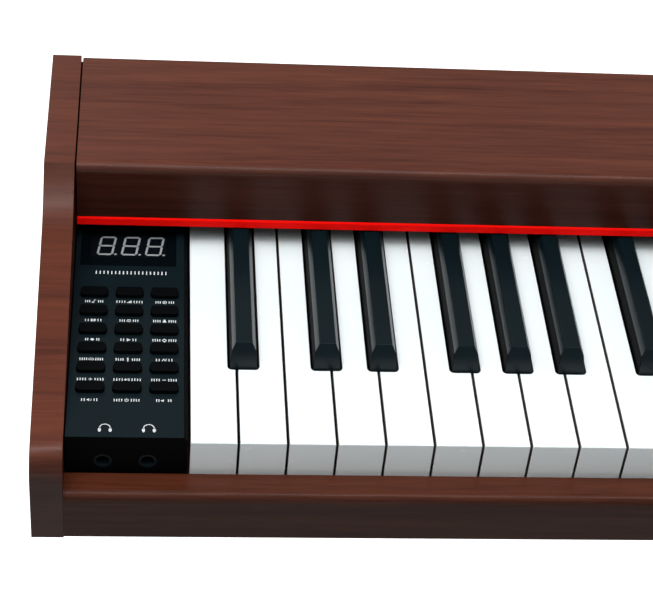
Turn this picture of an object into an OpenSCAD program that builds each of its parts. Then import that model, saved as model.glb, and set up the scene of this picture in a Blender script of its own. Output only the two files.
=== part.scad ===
// Slim 88-key digital piano on a panel stand, with three pedals and a plug-in music rest.
// The origin is on the floor under the middle of the footprint.
// +X points to the treble end, -Y towards the player and +Z up.

/* [Keyboard] */
// Spacing of the white keys
white_pitch = 23.5; // [23.2:0.1:23.8]
// Gap between two white keys
key_gap = 1.1; // [0.9:0.1:1.3]
// Length of the wide head of a white key
head_len = 50; // [48:0.5:50.5]
// Length of a key's cover, up to its hinge arm
key_len = 165; // [162:1:167]
// Height of the black keys above the white ones
black_h = 12; // [10:0.5:12]
// Width of a black key at its foot
black_w = 13.8; // [13:0.1:14]
// Flat width on top of a black key
black_top_w = 7.8; // [7:0.1:9]
// Height of the white keys above the floor
key_top_z = 725; // [710:5:740]

/* [Case] */
// Thickness of the cheeks
cheek_t = 15.5; // [15:0.5:18]
// Width of the bay between a cheek and the first key
bay_w = 59.1; // [59:0.1:62]
// Depth of the case behind the front edge of the keys
case_depth = 238; // [236:1:245]
// Thickness of the boards of the case
board_t = 12; // [11:0.5:12]
// Top face of the cover above the keys
cover_top = 51; // [50:0.5:53]
// Height of the control panel above the keys
panel_top = 3.4; // [3:0.1:4]

/* [Stand] */
// Distance from the middle to the outer face of a leg
leg_out_x = 292; // [280:1:300]
// Thickness of the legs
leg_t = 25; // [22:1:28]
// Overall depth of a foot
foot_depth = 370; // [360:5:400]
// Width of the music rest
rest_w = 620; // [560:10:640]

/* [Hidden] */

$fn = 32;
eps = 0.5;               // how far a cutting tool runs past the face that it opens

// Keyboard layout. Whites are numbered from 0 at the bass end, a black key by the white on its left.
white_count = 52;
first_letter = 5;                                   // the first key is an A, and C is letter 0
black_shift = [-0.1, 0.1, undef, -0.143, 0, 0.143, undef];  // offset from the crack, in key pitches
keys_w = white_count * white_pitch;
key_x0 = -keys_w / 2;
key_y0 = -111;                                      // front edge of the keys
black_gap = 0.9;                                    // between a black key and a white tail
black_front = head_len + 1;
black_slope = 6;                                    // run of the sloped front of a black key
black_shoulder = [5.7, 8];                          // half width and height where the top bevel starts
skirt = 20;                                         // depth of a white key's side walls
black_skirt = 16;
lip = 24;                                           // depth of a white key's front wall
key_wall = 2;
function letter(i) = (i + first_letter) % 7;
function has_black(i) = i >= 0 && i < white_count - 1 && !is_undef(black_shift[letter(i)]);
function black_x(i) = key_x0 + (i + 1 + black_shift[letter(i)]) * white_pitch;

// Hinge of the keys, and what lies under them, measured from the front top edge of the white keys.
pivot_y = 200;
pivot_z = -14;
rod_r = 2.5;
bore_r = 2.55;
arm_w = 8;
arm_r = 6;
contact_y = 110;                                    // the line of the switches under the keys
actuator_l = 8;

// Case
inner_x = keys_w / 2 + bay_w;
outer_x = inner_x + cheek_t;
floor_top = -37;                                    // top of the bottom board
floor_bottom = floor_top - board_t;
slip_top = -20.5;
slip_back = -1;
slip_t = 15;
slip_r = 5;
cover_front = 144;
cover_gap = 0.8;
cover_r = 6;
felt_bottom = 13;
felt_top = 17.4;
cheek_bottom = -50.5;
cheek_front = -16;
cheek_top = cover_top + 1.5;
cheek_r = 18;
cheek_brow = [112, 31.5];                           // where the hollow drop meets the long slope
cheek_toe_z = 4.5;                                  // height of the slope at the front of the keys
back_y = case_depth - board_t;

// Control panel, seen from the left edge of the first key
panel_gap = 0.7;
panel_x1 = key_x0 - panel_gap;
panel_x0 = -inner_x + panel_gap;
panel_wall = 2.5;
panel_chamfer = 1.9;
panel_len = key_len;
window_size = [49.3, 27.6, 1];
window_pos = [key_x0 - 31.3, 135.5];
digits_size = [40, 17.6];
digits_y = 138.1;
button_cols = [-47.9, -30.1, -12.3];
button_row1_y = 100.2;
button_pitch = 13.58;
button_size = [13.6, 6.2];
button_r = 1.8;
button_rise = 2;
button_gap = 0.3;
jack_cols = [-40.8, -19.5];
jack_z = -13;
jack_r = 3.2;
nose_r = 4.4;
boss_y = [8, 160];                                  // screw bosses of both end housings
boss_x = key_x0 - 30.15;

// Rear panel sockets
rear_x = -470;
rear_z = -12;
rear_size = [84, 30];
dc_r = 2.85;
speaker_x = 430;
speaker_z = 17;

// Stand
case_bottom_z = key_top_z + floor_bottom;
leg_in_x = leg_out_x - leg_t;
pad_h = 4;
pedal_pivot = [30, 85];                             // y and z of the pedal rod
pedal_tip_y = -96;
pedal_tip_r = 14;
pedal_t = 8;
pedal_pitch = 70;
pedal_rod_r = 3;
box_y = [-30, 60];
box_z = [50, 122];
modesty_y = 20;
modesty_t = 15;
modesty_z = [380, 640];
bolt_r = 3;
bolt_clear = 0.05;
bracket_y = [-60, 75];
bracket_leg = 38;
bracket_t = 3;

// Music rest
rest_front = 184;
rest_foot = 32;
rest_tilt = 15;
rest_h = 200;
rest_t = 9;
tab_x = 200;
tab_size = [30, 3, 22];

wood = "#5d3226";
black_abs = "#1d2428";
white_abs = "#f4f4f2";
steel = "#a9adb1";
pcb = "#2f6b3f";

// A side outline, drawn in (y, z), spread from x0 to x1
module spread_x(x0, x1)
    translate([x0, 0, 0]) rotate([90, 0, 90]) linear_extrude(x1 - x0) children();

// A cross section, drawn in (x, z), spread from y0 to y1
module spread_y(y0, y1)
    translate([0, y1, 0]) rotate([90, 0, 0]) linear_extrude(y1 - y0) children();

module box(from, to) translate(from) cube(to - from);

module rod_x(x0, x1, y, z, r) translate([x0, y, z]) rotate([0, 90, 0]) cylinder(h = x1 - x0, r = r);

module rounded(size, r) {
    square([size.x - 2 * r, size.y], center = true);
    square([size.x, size.y - 2 * r], center = true);
    for (sx = [-1, 1], sy = [-1, 1])
        translate([sx * (size.x / 2 - r), sy * (size.y / 2 - r)]) circle(r);
}

// The frame of the keyboard: y from the front edge of the keys, z from their tops
module at_keys() translate([0, key_y0, key_top_z]) children();

function bezier(a, b, c, t) = (1 - t) * (1 - t) * a + 2 * t * (1 - t) * b + t * t * c;

// ---- Case ----

cheek_slope = atan((cheek_brow.y - cheek_toe_z) / cheek_brow.x);
toe_y = cheek_front + cheek_r;
toe_z = cheek_toe_z + toe_y * tan(cheek_slope) - cheek_r / cos(cheek_slope);
cheek_outline = concat(
    [[case_depth, cheek_bottom], [case_depth, cheek_top]],
    [for (t = [0:0.1:1]) bezier([cover_front, cheek_top], [cheek_brow.x + 14, cheek_brow.y + 2.5], cheek_brow, t)],
    [for (k = [0:8]) let (a = 90 + cheek_slope + (90 - cheek_slope) * k / 8)
        [toe_y + cheek_r * cos(a), toe_z + cheek_r * sin(a)]],
    [[cheek_front, cheek_bottom]]
);

module cheek(x0) color(wood) at_keys() spread_x(x0, x0 + cheek_t) polygon(cheek_outline);

module left_cheek() cheek(-outer_x);
module right_cheek() cheek(inner_x);

module top_cover() color(wood) at_keys() difference() {
    spread_x(-inner_x + cover_gap, inner_x - cover_gap) difference() {
        union() {
            translate([cover_front, cover_top - board_t]) square([case_depth - cover_front, board_t]);
            translate([cover_front, felt_top]) square([board_t, cover_top - felt_top]);
        }
        difference() {
            translate([cover_front - eps, cover_top - cover_r]) square(cover_r + eps);
            translate([cover_front + cover_r, cover_top - cover_r]) circle(cover_r);
        }
    }
    for (s = [-1, 1])
        translate([s * tab_x, rest_front + 21, cover_top])
            cube([tab_size.x + 0.6, tab_size.y + 0.6, 3 * board_t], center = true);
}

module back_panel() color(wood) at_keys() difference() {
    box([-inner_x, back_y, floor_top], [inner_x, case_depth, cover_top - board_t]);
    for (s = [-1, 1], k = [-4:4])
        box([s * speaker_x + 10 * k - 2.5, back_y - eps, speaker_z - 14],
            [s * speaker_x + 10 * k + 2.5, case_depth + eps, speaker_z + 14]);
    translate([rear_x, 0, rear_z]) spread_y(back_y - eps, case_depth + eps) square(rear_size, center = true);
    for (x = back_screw_x)
        translate([x, case_depth - board_t / 2, floor_top - eps]) cylinder(h = 20 + eps, r = screw_r + bolt_clear);
}

screw_r = 1.5;
screw_head_r = 3;
back_screw_x = [for (k = [-2.5:1:2.5]) k * 250];

module bottom_board() color(wood) at_keys() difference() {
    box([-inner_x, slip_back, floor_bottom], [inner_x, case_depth, floor_top]);
    for (x = back_screw_x) translate([x, case_depth - board_t / 2, 0]) screw_hole();
    for (s = [-1, 1], y = boss_y) translate([s * boss_x, y, 0]) screw_hole();
    for (s = [-1, 1], y = bracket_y)
        translate([s * bracket_bolt_x, y - key_y0, floor_bottom - eps])
            cylinder(h = 10 + eps, r = bolt_r + bolt_clear);
}

module screw_hole()
    translate([0, 0, floor_bottom - eps]) cylinder(h = board_t + 2 * eps, r = screw_r + bolt_clear);

module key_slip() color(wood) at_keys() spread_x(-inner_x, inner_x) difference() {
    translate([slip_back - slip_t, floor_bottom - eps]) square([slip_t, slip_top - floor_bottom + eps]);
    difference() {
        translate([slip_back - slip_t - eps, slip_top - slip_r]) square(slip_r + eps);
        translate([slip_back - slip_t + slip_r, slip_top - slip_r]) circle(slip_r);
    }
}

module key_felt() color("#d81208") at_keys()
    box([-inner_x + cover_gap, cover_front - 1.5, felt_bottom], [inner_x - cover_gap, cover_front + 9, felt_top]);

// The moulded housing of the bass end bay: a top, two sides and a front, with two screw bosses
module end_housing() difference() {
    union() {
        difference() {
            spread_y(0, panel_len) polygon([
                [panel_x0, floor_top], [panel_x0, panel_top], [panel_x1 - panel_chamfer, panel_top],
                [panel_x1, panel_top - panel_chamfer], [panel_x1, floor_top]
            ]);
            box([panel_x0 + panel_wall, panel_wall, floor_top - eps],
                [panel_x1 - panel_wall, panel_len + eps, panel_top - panel_wall]);
        }
        for (y = boss_y)
            translate([boss_x, y, floor_top]) cylinder(h = panel_top - panel_wall - floor_top, r = 3);
    }
    for (y = boss_y)
        translate([boss_x, y, floor_top - eps]) cylinder(h = 12 + eps, r = screw_r + bolt_clear);
}

module control_panel() color(black_abs) at_keys() difference() {
    end_housing();
    translate([window_pos.x, window_pos.y, panel_top - window_size.z / 2 + eps / 2])
        cube([window_size.x + 0.2, window_size.y + 0.2, window_size.z + eps], center = true);
    translate([window_pos.x, digits_y, 0])
        cube([digits_size.x + 0.4, digits_size.y + 0.4, 4 * panel_wall], center = true);
    for (row = [1:6], x = button_cols)
        translate([key_x0 + x, row_y(row), panel_top - panel_wall - eps])
            linear_extrude(panel_wall + 2 * eps)
                rounded([button_size.x + 2 * button_gap, button_size.y + 2 * button_gap], button_r + button_gap);
    for (x = jack_cols)
        translate([key_x0 + x, panel_wall + eps, jack_z]) rotate([90, 0, 0])
            cylinder(h = panel_wall + 2 * eps, r = nose_r + bolt_clear);
}

function row_y(row) = button_row1_y - (row - 1) * button_pitch;

module right_end_block() color(black_abs) at_keys() mirror([1, 0, 0]) end_housing();

module display_window() color("#0c0f14") at_keys()
    translate([window_pos.x, window_pos.y, panel_top - window_size.z / 2]) cube(window_size, center = true);

// The panel board carries the display module and a switch under each button
board_top = -3.6;
board_thick = 1.6;

module display_digits() color("#8f989c") at_keys()
    translate([window_pos.x - digits_size.x / 2, digits_y - digits_size.y / 2, board_top])
        cube([digits_size.x, digits_size.y, panel_top - window_size.z - board_top]);

module panel_board() color(pcb) at_keys() {
    box([panel_x0 + panel_wall + 1, 16, board_top - board_thick], [panel_x1 - panel_wall - 1, 154, board_top]);
    for (x = [panel_x0 + 7, panel_x1 - 7], y = [20, 117])
        translate([x, y, board_top - 1]) cylinder(h = panel_top - panel_wall - board_top + 1, r = 2.5);
    for (row = [1:6], x = button_cols)
        translate([key_x0 + x, row_y(row), board_top + 0.9]) cube([4, 4, 2], center = true);
}

// Three caps on a common web. The rim of each cap keeps it under the panel.
module button_row(row) color("#14181b") at_keys() {
    rim_z = panel_top - panel_wall - 1.5;
    for (x = button_cols) translate([key_x0 + x, row_y(row), rim_z]) {
        linear_extrude(panel_top + button_rise - rim_z) rounded(button_size, button_r);
        linear_extrude(1) rounded([button_size.x + 2, button_size.y + 2], button_r);
    }
    box([key_x0 + button_cols[0], row_y(row) - 1.5, rim_z], [key_x0 + button_cols[2], row_y(row) + 1.5, rim_z + 1]);
}

module headphone_jacks() color("#26292c") at_keys() for (x = jack_cols) translate([key_x0 + x, 0, jack_z])
    difference() {
        union() {
            translate([0, panel_wall + 0.5, 0]) rotate([90, 0, 0]) cylinder(h = panel_wall + 0.5, r = nose_r);
            box([-6, panel_wall, -6], [6, 28, 6]);
        }
        translate([0, 24, 0]) rotate([90, 0, 0]) cylinder(h = 24 + eps, r = jack_r);
    }

module rear_jack_panel() color(black_abs) at_keys() translate([rear_x, back_y, rear_z]) {
    difference() {
        union() {
            spread_y(board_t - 2.5, board_t) square([rear_size.x - 0.4, rear_size.y - 0.4], center = true);
            for (x = [-20, 20]) box([x - 7, -9.6, -7], [x + 7, board_t - 2, 7]);
        }
        translate([-20, board_t + eps, 0]) rotate([90, 0, 0]) cylinder(h = 19 + eps, r = jack_r);
        translate([20, board_t + eps, 0]) rotate([90, 0, 0]) cylinder(h = 12 + eps, r = dc_r);
    }
}

module main_board() color(pcb) at_keys() {
    box([-180, 216, -2], [60, 217.6, 36]);
    for (x = [-150:60:30]) box([x - 10, 217, 8], [x + 10, 220, 28]);
    box([-120, 217, -1], [20, 224, 4]);
    for (x = [-172, 52], z = [6, 30]) translate([x, back_y, z]) rotate([90, 0, 0]) cylinder(h = 11.5, r = 3);
}

// Oval drive units fixed behind the slots of the back panel
module speakers() color("#303336") at_keys() for (s = [-1, 1]) translate([s * speaker_x, 0, speaker_z]) {
    difference() {
        spread_y(back_y - 4, back_y) rounded([124, 38], 18);
        spread_y(back_y - 2, back_y + eps) rounded([104, 28], 13);
    }
    spread_y(back_y - 16, back_y - 3.5) rounded([92, 30], 14);
    translate([0, back_y - 15, 0]) rotate([90, 0, 0]) cylinder(h = 16, r = 15);
}

module case_screws() color(steel) at_keys() {
    for (x = back_screw_x) translate([x, case_depth - board_t / 2, 0]) case_screw(18);
    for (s = [-1, 1], y = boss_y) translate([s * boss_x, y, 0]) case_screw(10);
}

// A screw driven up through the bottom board, with its head on the underside
module case_screw(bite) {
    translate([0, 0, floor_bottom - 1.6]) cylinder(h = 1.6, r = screw_head_r);
    translate([0, 0, floor_bottom - 1]) cylinder(h = board_t + 1 + bite, r = screw_r);
}

// ---- Key action ----

frame_t = 1.5;
frame_x = keys_w / 2 - 1;
bracket_cracks = [2, 9, 16, 23, 30, 37, 44, 51];    // a hinge plate stands at the left of each C
rail_y = [172, 188];
rail_bottom = -7;
stop_y = [14, 36];
stop_top = -31.5;

// Folded steel: a tray, a step under the key heads, hinge plates, a rail over the arms and a rear wall
module key_frame() color(steel) at_keys() difference() {
    union() {
        box([-frame_x, 12, floor_top], [frame_x, 215, floor_top + frame_t]);
        box([-frame_x, 215 - frame_t, floor_top], [frame_x, 215, rail_bottom + frame_t]);
        box([-frame_x, rail_y[0], rail_bottom], [frame_x, rail_y[1], rail_bottom + frame_t]);
        box([-frame_x, stop_y[0], stop_top - frame_t], [frame_x, stop_y[1], stop_top]);
        for (y = [stop_y[0], stop_y[1] - frame_t])
            box([-frame_x, y, floor_top], [frame_x, y + frame_t, stop_top]);
        for (x = concat([-frame_x, frame_x - frame_t], [for (i = bracket_cracks) key_x0 + i * white_pitch - frame_t / 2]))
            box([x, rail_y[0], floor_top], [x + frame_t, 215, rail_bottom + frame_t]);
    }
    rod_x(-frame_x - eps, frame_x + eps, pivot_y, pivot_z, bore_r);
}

module key_pivot_rod() color(steel) at_keys() rod_x(-frame_x, frame_x, pivot_y, pivot_z, rod_r);

module stop_felts() color("#7d2f2c") at_keys() {
    box([-frame_x, stop_y[0], stop_top], [frame_x, stop_y[1], stop_top + 2]);
    for (i = [-1:7]) {
        x0 = i < 0 ? -frame_x + frame_t : key_x0 + bracket_cracks[i] * white_pitch + frame_t / 2;
        x1 = i > 6 ? frame_x - frame_t : key_x0 + bracket_cracks[i + 1] * white_pitch - frame_t / 2;
        box([x0, rail_y[0], rail_bottom - 0.9], [x1, rail_y[1], rail_bottom]);
    }
}

module contact_board() color(pcb) at_keys() {
    box([-frame_x, contact_y - 15, -34], [frame_x, contact_y + 15, -32.4]);
    for (k = [-6:6], s = [-1, 1])
        translate([k * 98, contact_y + 11 * s, floor_top + frame_t]) cylinder(h = 3, r = 3);
}

// One rubber dome under every key, on a common strip
module contact_rubber() color("#3a3f45") at_keys() {
    box([-frame_x, contact_y - 7, -32.4], [frame_x, contact_y + 7, -31.4]);
    for (i = [0:white_count - 1]) translate([tail_x(i), contact_y, -31.9]) cylinder(h = 6.9, r = 4);
    for (i = [0:white_count - 1]) if (has_black(i))
        translate([black_x(i), contact_y, -31.9]) cylinder(h = 10.6, r = 4);
}

function head_x0(i) = key_x0 + i * white_pitch + key_gap / 2;
function head_x1(i) = key_x0 + (i + 1) * white_pitch - key_gap / 2;
function tail_x0(i) = has_black(i - 1) ? black_x(i - 1) + black_w / 2 + black_gap : head_x0(i);
function tail_x1(i) = has_black(i) ? black_x(i) - black_w / 2 - black_gap : head_x1(i);
function tail_x(i) = (tail_x0(i) + tail_x1(i)) / 2;

module hinge_arm(x) {
    box([x - arm_w / 2, key_len - 3, pivot_z - arm_r], [x + arm_w / 2, pivot_y, pivot_z + arm_r]);
    rod_x(x - arm_w / 2, x + arm_w / 2, pivot_y, pivot_z, arm_r);
}

// The two hollows under a key cover, in front of and behind the block that works its switch
module key_hollows(x0, x1, y0, bottom, top) {
    box([x0, y0, -bottom - eps], [x1, contact_y - actuator_l / 2, top]);
    box([x0, contact_y + actuator_l / 2, -bottom - eps], [x1, key_len - 5, top]);
}

module white_key(i) color(white_abs) at_keys() difference() {
    union() {
        box([head_x0(i), 0, -skirt], [head_x1(i), head_len, 0]);
        box([head_x0(i), 0, -lip], [head_x1(i), key_wall, 0]);
        box([tail_x0(i), key_wall, -skirt], [tail_x1(i), key_len, 0]);
        hinge_arm(tail_x(i));
    }
    box([head_x0(i) + key_wall, key_wall, -skirt - eps], [head_x1(i) - key_wall, head_len - key_wall, -key_wall]);
    key_hollows(tail_x0(i) + key_wall, tail_x1(i) - key_wall, key_wall, skirt, -key_wall);
    rod_x(tail_x(i) - arm_w, tail_x(i) + arm_w, pivot_y, pivot_z, bore_r);
}

module black_key(i) color("#15181b") at_keys() difference() {
    union() {
        intersection() {
            translate([black_x(i), 0, 0]) spread_y(black_front, key_len) polygon([
                [-black_w / 2, -black_skirt], [-black_w / 2, 0], [-black_shoulder.x, black_shoulder.y],
                [-black_top_w / 2, black_h], [black_top_w / 2, black_h],
                [black_shoulder.x, black_shoulder.y], [black_w / 2, 0], [black_w / 2, -black_skirt]
            ]);
            spread_x(black_x(i) - black_w, black_x(i) + black_w) polygon([
                [black_front, -black_skirt], [black_front, 0], [black_front + black_slope, black_h],
                [key_len, black_h], [key_len, -black_skirt]
            ]);
        }
        hinge_arm(black_x(i));
    }
    key_hollows(black_x(i) - 4, black_x(i) + 4, black_front + black_slope, black_skirt, 5);
    rod_x(black_x(i) - arm_w, black_x(i) + arm_w, pivot_y, pivot_z, bore_r);
}

module white_keys(from, to) for (i = [from:to]) white_key(i);
module black_keys(from, to) for (i = [from:to]) if (has_black(i)) black_key(i);

// ---- Stand ----

leg_waist = 55;
leg_head = 105;
bracket_bolt_x = leg_in_x - 24;
leg_side = concat(
    [[foot_depth / 2, pad_h], [foot_depth / 2, pad_h + 18]],
    [for (t = [0:0.125:1]) bezier([foot_depth / 2 - 14, pad_h + 34], [leg_waist + 4, pad_h + 50], [leg_waist, 190], t)],
    [for (t = [0:0.125:1]) bezier([leg_waist, 470], [leg_waist, case_bottom_z - 70], [leg_head, case_bottom_z - 30], t)],
    [[leg_head, case_bottom_z]]
);
leg_outline = concat(leg_side, [for (k = [len(leg_side) - 1:-1:0]) [-leg_side[k].x, leg_side[k].y]]);

module leg(side) color(wood) difference() {
    spread_x(side > 0 ? leg_in_x : -leg_out_x, side > 0 ? leg_out_x : -leg_in_x) polygon(leg_outline);
    for (p = leg_bolts) bolt_hole([side * leg_out_x, p.x, p.y], -side, leg_t);
    for (y = bracket_y) bolt_hole([side * leg_in_x, y, case_bottom_z - 22], side, 15);
}

module left_leg() leg(-1);
module right_leg() leg(1);

// Bolts through the legs into the modesty board and the pedal box, in (y, z)
leg_bolts = [
    [modesty_y + modesty_t / 2, modesty_z[0] + 40], [modesty_y + modesty_t / 2, modesty_z[1] - 40],
    [15, box_z[0] + board_t / 2], [15, box_z[1] - board_t / 2]
];

module bolt_hole(p, dir, depth)
    rod_x(p.x - (dir > 0 ? eps : depth + eps), p.x + (dir > 0 ? depth + eps : eps), p.y, p.z, bolt_r + bolt_clear);

module modesty_board() color(wood) difference() {
    box([-leg_in_x, modesty_y, modesty_z[0]], [leg_in_x, modesty_y + modesty_t, modesty_z[1]]);
    for (s = [-1, 1], k = [0, 1]) bolt_hole([s * leg_in_x, leg_bolts[k].x, leg_bolts[k].y], -s, 22);
}

// A box beam with a slot for each pedal and ribs that carry the rod
module pedal_box() color(wood) difference() {
    union() {
        difference() {
            box([-leg_in_x, box_y[0], box_z[0]], [leg_in_x, box_y[1], box_z[1]]);
            box([-leg_in_x - eps, box_y[0] + board_t, box_z[0] + board_t],
                [leg_in_x + eps, box_y[1] - board_t, box_z[1] - board_t]);
        }
        for (k = [-1.5:1:1.5])
            box([k * pedal_pitch - 4, box_y[0] + 6, box_z[0] + 6], [k * pedal_pitch + 4, box_y[1] - 6, box_z[1] - 6]);
    }
    for (k = [-1:1])
        box([k * pedal_pitch - 13, box_y[0] - eps, pedal_pivot.y - 13],
            [k * pedal_pitch + 13, box_y[0] + board_t + eps, pedal_pivot.y + 7]);
    rod_x(-1.6 * pedal_pitch - 4, 1.6 * pedal_pitch + 4, pedal_pivot.x, pedal_pivot.y, pedal_rod_r + bolt_clear);
    for (s = [-1, 1], k = [2, 3]) bolt_hole([s * leg_in_x, leg_bolts[k].x, leg_bolts[k].y], -s, 22);
}

module pedal_rod() color(steel)
    rod_x(-1.6 * pedal_pitch, 1.6 * pedal_pitch, pedal_pivot.x, pedal_pivot.y, pedal_rod_r);

module pedal(k) color("#b08d3f") translate([k * pedal_pitch, 0, 0]) difference() {
    union() {
        translate([0, 0, pedal_pivot.y - pedal_t / 2]) linear_extrude(pedal_t) {
            translate([0, pedal_tip_y]) circle(pedal_tip_r);
            polygon([
                [-pedal_tip_r, pedal_tip_y], [-10, box_y[0] - 12], [-10, pedal_pivot.x],
                [10, pedal_pivot.x], [10, box_y[0] - 12], [pedal_tip_r, pedal_tip_y]
            ]);
        }
        rod_x(-10, 10, pedal_pivot.x, pedal_pivot.y, 8);
    }
    rod_x(-20, 20, pedal_pivot.x, pedal_pivot.y, pedal_rod_r + bolt_clear);
}

module soft_pedal() pedal(-1);
module sostenuto_pedal() pedal(0);
module sustain_pedal() pedal(1);

module floor_pads() color("#222222")
    for (sx = [-1, 1], sy = [-1, 1])
        translate([sx * (leg_out_x - leg_t / 2), sy * (foot_depth / 2 - 22), 0]) cylinder(h = pad_h, r = 11);

// Steel angles in the corners between the legs and the bottom board
module stand_brackets() color(steel) for (s = [-1, 1], y = bracket_y) mirror([s < 0 ? 1 : 0, 0, 0])
    difference() {
        union() {
            box([leg_in_x - bracket_leg, y - 14, case_bottom_z - bracket_t], [leg_in_x, y + 14, case_bottom_z]);
            box([leg_in_x - bracket_t, y - 14, case_bottom_z - bracket_leg], [leg_in_x, y + 14, case_bottom_z]);
        }
        bolt_hole([leg_in_x - bracket_t, y, case_bottom_z - 22], 1, bracket_t);
        translate([bracket_bolt_x, y, case_bottom_z - 2 * bracket_t])
            cylinder(h = 3 * bracket_t, r = bolt_r + bolt_clear);
    }

// A bolt with a button head, pointing along +Z from the face under its head
module bolt(grip) {
    translate([0, 0, -3]) cylinder(h = 3, r = 5.5);
    translate([0, 0, -1]) cylinder(h = grip + 1, r = bolt_r);
}

module stand_bolts() color(steel) for (s = [-1, 1]) mirror([s < 0 ? 1 : 0, 0, 0]) {
    for (p = leg_bolts) translate([leg_out_x, p.x, p.y]) rotate([0, -90, 0]) bolt(leg_t + 20);
    for (y = bracket_y) {
        translate([leg_in_x - bracket_t, y, case_bottom_z - 22]) rotate([0, 90, 0]) bolt(bracket_t + 14);
        translate([bracket_bolt_x, y, case_bottom_z - bracket_t]) bolt(bracket_t + 9);
    }
}

// ---- Music rest ----

rest_up = [sin(rest_tilt), cos(rest_tilt)];
rest_back = [rest_front + rest_foot, cover_top];
rest_face = rest_back + rest_t * [-rest_up.y, rest_up.x];

module music_rest() color(wood) at_keys() difference() {
    spread_x(-rest_w / 2, rest_w / 2) polygon([
        [rest_front, cover_top], rest_back, rest_back + rest_h * rest_up, rest_face + rest_h * rest_up,
        rest_face + 6 * rest_up, [rest_front + 6, cover_top + 8], [rest_front + 6, cover_top + 15],
        [rest_front, cover_top + 15]
    ]);
    for (s = [-1, 1])
        translate([s * tab_x, rest_front + 21, cover_top]) cube([tab_size.x, tab_size.y, 12], center = true);
}

module rest_tabs() color(steel) at_keys() for (s = [-1, 1])
    translate([s * tab_x - tab_size.x / 2, rest_front + 21 - tab_size.y / 2, cover_top + 6 - tab_size.z])
        cube(tab_size);

left_cheek();
right_cheek();
top_cover();
back_panel();
bottom_board();
key_slip();
key_felt();
control_panel();
right_end_block();
display_window();
display_digits();
panel_board();
headphone_jacks();
rear_jack_panel();
key_frame();
key_pivot_rod();
stop_felts();
contact_board();
contact_rubber();
main_board();
speakers();
case_screws();
left_leg();
right_leg();
modesty_board();
pedal_box();
pedal_rod();
soft_pedal();
sostenuto_pedal();
sustain_pedal();
floor_pads();
stand_brackets();
stand_bolts();
music_rest();
rest_tabs();
button_row(1);  // button_row_1
button_row(2);  // button_row_2
button_row(3);  // button_row_3
button_row(4);  // button_row_4
button_row(5);  // button_row_5
button_row(6);  // button_row_6
white_key(0);  // key_a0
black_key(0);  // key_a0_sharp
white_key(1);  // key_b0
white_key(2);  // key_c1
black_key(2);  // key_c1_sharp
white_key(3);  // key_d1
black_key(3);  // key_d1_sharp
white_key(4);  // key_e1
white_key(5);  // key_f1
black_key(5);  // key_f1_sharp
white_key(6);  // key_g1
black_key(6);  // key_g1_sharp
white_key(7);  // key_a1
black_key(7);  // key_a1_sharp
white_key(8);  // key_b1
white_keys(9, 29);  // white_keys_c2_b4
black_keys(9, 29);  // black_keys_c2_b4
white_keys(30, 51);  // white_keys_c5_c8
black_keys(30, 50);  // black_keys_c5_b7
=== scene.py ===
"""Slim digital piano on a panel stand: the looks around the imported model, in metres, in the row frame.

The player sits on the -Y side and the bass end is at -X.
"""
import itertools
import math

import bmesh
import bpy
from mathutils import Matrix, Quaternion, Vector


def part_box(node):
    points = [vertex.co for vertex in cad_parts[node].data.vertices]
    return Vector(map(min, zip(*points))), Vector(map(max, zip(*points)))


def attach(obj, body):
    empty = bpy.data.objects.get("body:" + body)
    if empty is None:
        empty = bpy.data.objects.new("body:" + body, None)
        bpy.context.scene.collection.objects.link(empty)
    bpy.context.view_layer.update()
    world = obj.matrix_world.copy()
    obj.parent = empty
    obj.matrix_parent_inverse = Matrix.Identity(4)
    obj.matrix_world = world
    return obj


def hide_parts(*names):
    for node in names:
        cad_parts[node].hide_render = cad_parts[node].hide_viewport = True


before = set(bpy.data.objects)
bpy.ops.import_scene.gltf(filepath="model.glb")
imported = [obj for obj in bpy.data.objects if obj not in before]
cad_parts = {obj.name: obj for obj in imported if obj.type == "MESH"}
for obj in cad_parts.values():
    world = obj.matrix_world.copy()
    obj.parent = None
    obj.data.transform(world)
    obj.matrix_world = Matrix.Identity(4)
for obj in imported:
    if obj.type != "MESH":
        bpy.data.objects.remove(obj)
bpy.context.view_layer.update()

MM = 0.001

# The keyboard's own measures, from the lowest white and black keys
A0, B0, A0_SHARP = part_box("key_a0"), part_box("key_b0"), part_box("key_a0_sharp")
PITCH = B0[0].x - A0[0].x
HEAD_W = A0[1].x - A0[0].x
KEYS_X = A0[0].x - (PITCH - HEAD_W) / 2
KEY_FRONT = A0[0].y
KEY_TOP = A0[1].z
WHITE_COUNT = 52


# ---- Materials ----

def linear(code):
    """An sRGB hex colour as the linear RGBA that the shaders take."""
    parts = [int(code[i:i + 2], 16) / 255 for i in (1, 3, 5)]
    return (*(p / 12.92 if p <= 0.04045 else ((p + 0.055) / 1.055) ** 2.4 for p in parts), 1.0)


def wire(tree, node, inputs):
    """Sets a node's inputs, which are values, or other nodes' outputs to link."""
    for name, value in inputs.items():
        if isinstance(value, bpy.types.NodeSocket):
            tree.links.new(value, node.inputs[name])
        else:
            node.inputs[name].default_value = value


def add(tree, kind, inputs=None, stops=(), **settings):
    """Adds a node with its settings and inputs. A colour ramp has its stops, as (sRGB hex, position)."""
    node = tree.nodes.new("ShaderNode" + kind)
    for name, value in settings.items():
        setattr(node, name, value)
    wire(tree, node, inputs or {})
    if stops:
        elements = node.color_ramp.elements
        while len(elements) < len(stops):
            elements.new(0.5)
        for element, (code, position) in zip(elements, stops):
            element.position = position
            element.color = linear(code)
    return node


# The Mix node has an A, a B and a result for each kind of data, under the same names, so they go by number
FLOAT_A, FLOAT_B, VECTOR_A, VECTOR_B, COLOUR_A, COLOUR_B = range(2, 8)
FLOAT_OUT, VECTOR_OUT, COLOUR_OUT = range(3)


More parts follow.
